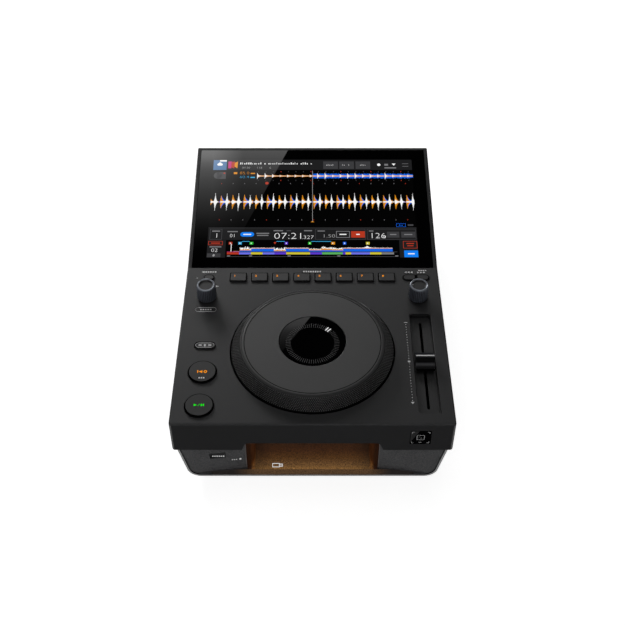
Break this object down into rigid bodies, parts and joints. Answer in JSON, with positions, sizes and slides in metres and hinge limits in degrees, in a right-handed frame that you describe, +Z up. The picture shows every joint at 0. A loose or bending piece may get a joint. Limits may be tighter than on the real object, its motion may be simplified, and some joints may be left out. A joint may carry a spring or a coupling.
{
  "type": "tabletop dj media player",
  "caption": "Single-deck tabletop DJ media player with a tilted touch screen, a jog wheel, performance pads, a tempo fader and a lit front USB bay.",
  "frame": {"origin": "on the table, under the middle of the bounding box", "axes": "+X to the player's right, +Y to the back, +Z up"},
  "size_m": [0.258, 0.374, 0.1143],
  "materials": {
    "case_grey": "fine satin texture",
    "tray_grey": "fine matt powder coat",
    "panel_black": "fine texture",
    "jog_plastic": "fine texture",
    "jog_metal": "fine blasted, dark",
    "amber_guide": "frosted amber light guide",
    "pad_rubber": "smooth silicone",
    "button_plastic": "satin",
    "knob_plastic": "satin dark blue-grey",
    "black_plastic": "satin",
    "black_glass": "glossy, like glass",
    "display": "glossy",
    "steel_sheet": "plain",
    "steel_bright": "ground",
    "cast_alloy": "cast",
    "jack_brass": "plated",
    "circuit_board": "solder mask",
    "mat_rubber": "plain",
    "foot_rubber": "plain"
  },
  "bodies": {
    "case": {"upper_case": "case_grey", "base_tray": "tray_grey", "front_panel": "panel_black", "bay_diffuser": "amber_guide", "bay_lamp_board": "circuit_board", "front_usb_a": "steel_bright", "touch_window": "black_glass", "touch_board": "circuit_board", "screen_glass": "black_glass", "lcd_module": "display", "jog_mount": "black_plastic", "jog_bearing": "steel_bright", "jog_sensor": "black_plastic", "jog_display": "display", "jog_window": "black_glass", "left_board": "circuit_board", "left_mat": "mat_rubber", "pad_board": "circuit_board", "pad_mat": "mat_rubber", "browse_encoder": "steel_bright", "adjust_encoder": "steel_bright", "fader_trough": "panel_black", "fader_frame": "steel_sheet", "fader_rails": "steel_bright", "main_board": "circuit_board", "power_supply": "steel_sheet", "rear_panel": "steel_sheet", "mains_inlet": "black_plastic", "lan_port": "steel_bright", "rear_usb_b": "steel_bright", "rca_jacks": "jack_brass", "feet": "foot_rubber", "case_screws": "steel_bright"},
    "jog": {"jog_hub": "cast_alloy", "encoder_disc": "steel_bright", "jog_grip_ring": "jog_plastic", "jog_top_plate": "jog_metal"},
    "browse_push": {"browse_plunger": "black_plastic"},
    "browse": {"browse_shaft": "steel_bright", "browse_knob": "knob_plastic"},
    "adjust": {"adjust_shaft": "steel_bright", "adjust_knob": "knob_plastic"},
    "fader": {"fader_carriage": "black_plastic", "fader_cap": "knob_plastic"},
    "stop": {"usb_stop_button": "black_plastic"},
    "power": {"power_button": "black_plastic"},
    "hot_cue_1_key": {"hot_cue_1": "pad_rubber"},
    "hot_cue_2_key": {"hot_cue_2": "pad_rubber"},
    "hot_cue_3_key": {"hot_cue_3": "pad_rubber"},
    "hot_cue_4_key": {"hot_cue_4": "pad_rubber"},
    "hot_cue_5_key": {"hot_cue_5": "pad_rubber"},
    "hot_cue_6_key": {"hot_cue_6": "pad_rubber"},
    "hot_cue_7_key": {"hot_cue_7": "pad_rubber"},
    "hot_cue_8_key": {"hot_cue_8": "pad_rubber"},
    "back_button_key": {"back_button": "button_plastic"},
    "mode_button_left_key": {"mode_button_left": "button_plastic"},
    "mode_button_right_key": {"mode_button_right": "button_plastic"},
    "shift_button_key": {"shift_button": "button_plastic"},
    "cue_button_key": {"cue_button": "button_plastic"},
    "play_button_key": {"play_button": "button_plastic"}
  },
  "joints": [
    {"name": "jog_spin", "type": "hinge", "parent": "case", "child": "jog", "pos_m": [0, -0.09641, 0.085], "axis": [0, 0, 1], "continuous": true},
    {"name": "browse_press", "type": "slide", "parent": "case", "child": "browse_push", "axis": [0, 0, -1], "range_m": [0, 0.0005], "stiffness_N_per_m": 3000, "springref_m": -0.0006},
    {"name": "browse_turn", "type": "hinge", "parent": "browse_push", "child": "browse", "pos_m": [-0.1058, -0.02541, 0.085], "axis": [0, 0, 1], "continuous": true},
    {"name": "adjust_turn", "type": "hinge", "parent": "case", "child": "adjust", "pos_m": [0.1058, -0.02541, 0.085], "axis": [0, 0, 1], "range_deg": [-150, 150]},
    {"name": "fader_slide", "type": "slide", "parent": "case", "child": "fader", "axis": [0, 1, 0], "range_m": [-0.05, 0.05]},
    {"name": "stop_press", "type": "slide", "parent": "case", "child": "stop", "axis": [0, 1, 0], "range_m": [0, 0.001], "stiffness_N_per_m": 800, "springref_m": -0.0005},
    {"name": "power_press", "type": "slide", "parent": "case", "child": "power", "axis": [0, -1, 0], "range_m": [0, 0.0025], "stiffness_N_per_m": 600, "springref_m": -0.001},
    {"name": "hot_cue_1_press", "type": "slide", "parent": "case", "child": "hot_cue_1_key", "axis": [0, 0, -1], "range_m": [0, 0.0008], "stiffness_N_per_m": 1200, "springref_m": -0.0006},
    {"name": "hot_cue_2_press", "type": "slide", "parent": "case", "child": "hot_cue_2_key", "axis": [0, 0, -1], "range_m": [0, 0.0008], "stiffness_N_per_m": 1200, "springref_m": -0.0006},
    {"name": "hot_cue_3_press", "type": "slide", "parent": "case", "child": "hot_cue_3_key", "axis": [0, 0, -1], "range_m": [0, 0.0008], "stiffness_N_per_m": 1200, "springref_m": -0.0006},
    {"name": "hot_cue_4_press", "type": "slide", "parent": "case", "child": "hot_cue_4_key", "axis": [0, 0, -1], "range_m": [0, 0.0008], "stiffness_N_per_m": 1200, "springref_m": -0.0006},
    {"name": "hot_cue_5_press", "type": "slide", "parent": "case", "child": "hot_cue_5_key", "axis": [0, 0, -1], "range_m": [0, 0.0008], "stiffness_N_per_m": 1200, "springref_m": -0.0006},
    {"name": "hot_cue_6_press", "type": "slide", "parent": "case", "child": "hot_cue_6_key", "axis": [0, 0, -1], "range_m": [0, 0.0008], "stiffness_N_per_m": 1200, "springref_m": -0.0006},
    {"name": "hot_cue_7_press", "type": "slide", "parent": "case", "child": "hot_cue_7_key", "axis": [0, 0, -1], "range_m": [0, 0.0008], "stiffness_N_per_m": 1200, "springref_m": -0.0006},
    {"name": "hot_cue_8_press", "type": "slide", "parent": "case", "child": "hot_cue_8_key", "axis": [0, 0, -1], "range_m": [0, 0.0008], "stiffness_N_per_m": 1200, "springref_m": -0.0006},
    {"name": "back_press", "type": "slide", "parent": "case", "child": "back_button_key", "axis": [0, 0, -1], "range_m": [0, 0.0007], "stiffness_N_per_m": 1200, "springref_m": -0.0006},
    {"name": "mode_button_left_press", "type": "slide", "parent": "case", "child": "mode_button_left_key", "axis": [0, 0, -1], "range_m": [0, 0.0007], "stiffness_N_per_m": 1200, "springref_m": -0.0006},
    {"name": "mode_button_right_press", "type": "slide", "parent": "case", "child": "mode_button_right_key", "axis": [0, 0, -1], "range_m": [0, 0.0007], "stiffness_N_per_m": 1200, "springref_m": -0.0006},
    {"name": "shift_press", "type": "slide", "parent": "case", "child": "shift_button_key", "axis": [0, 0, -1], "range_m": [0, 0.0007], "stiffness_N_per_m": 1200, "springref_m": -0.0006},
    {"name": "cue_press", "type": "slide", "parent": "case", "child": "cue_button_key", "axis": [0, 0, -1], "range_m": [0, 0.0015], "stiffness_N_per_m": 1200, "springref_m": -0.0006},
    {"name": "play_press", "type": "slide", "parent": "case", "child": "play_button_key", "axis": [0, 0, -1], "range_m": [0, 0.0015], "stiffness_N_per_m": 1200, "springref_m": -0.0006}
  ]
}
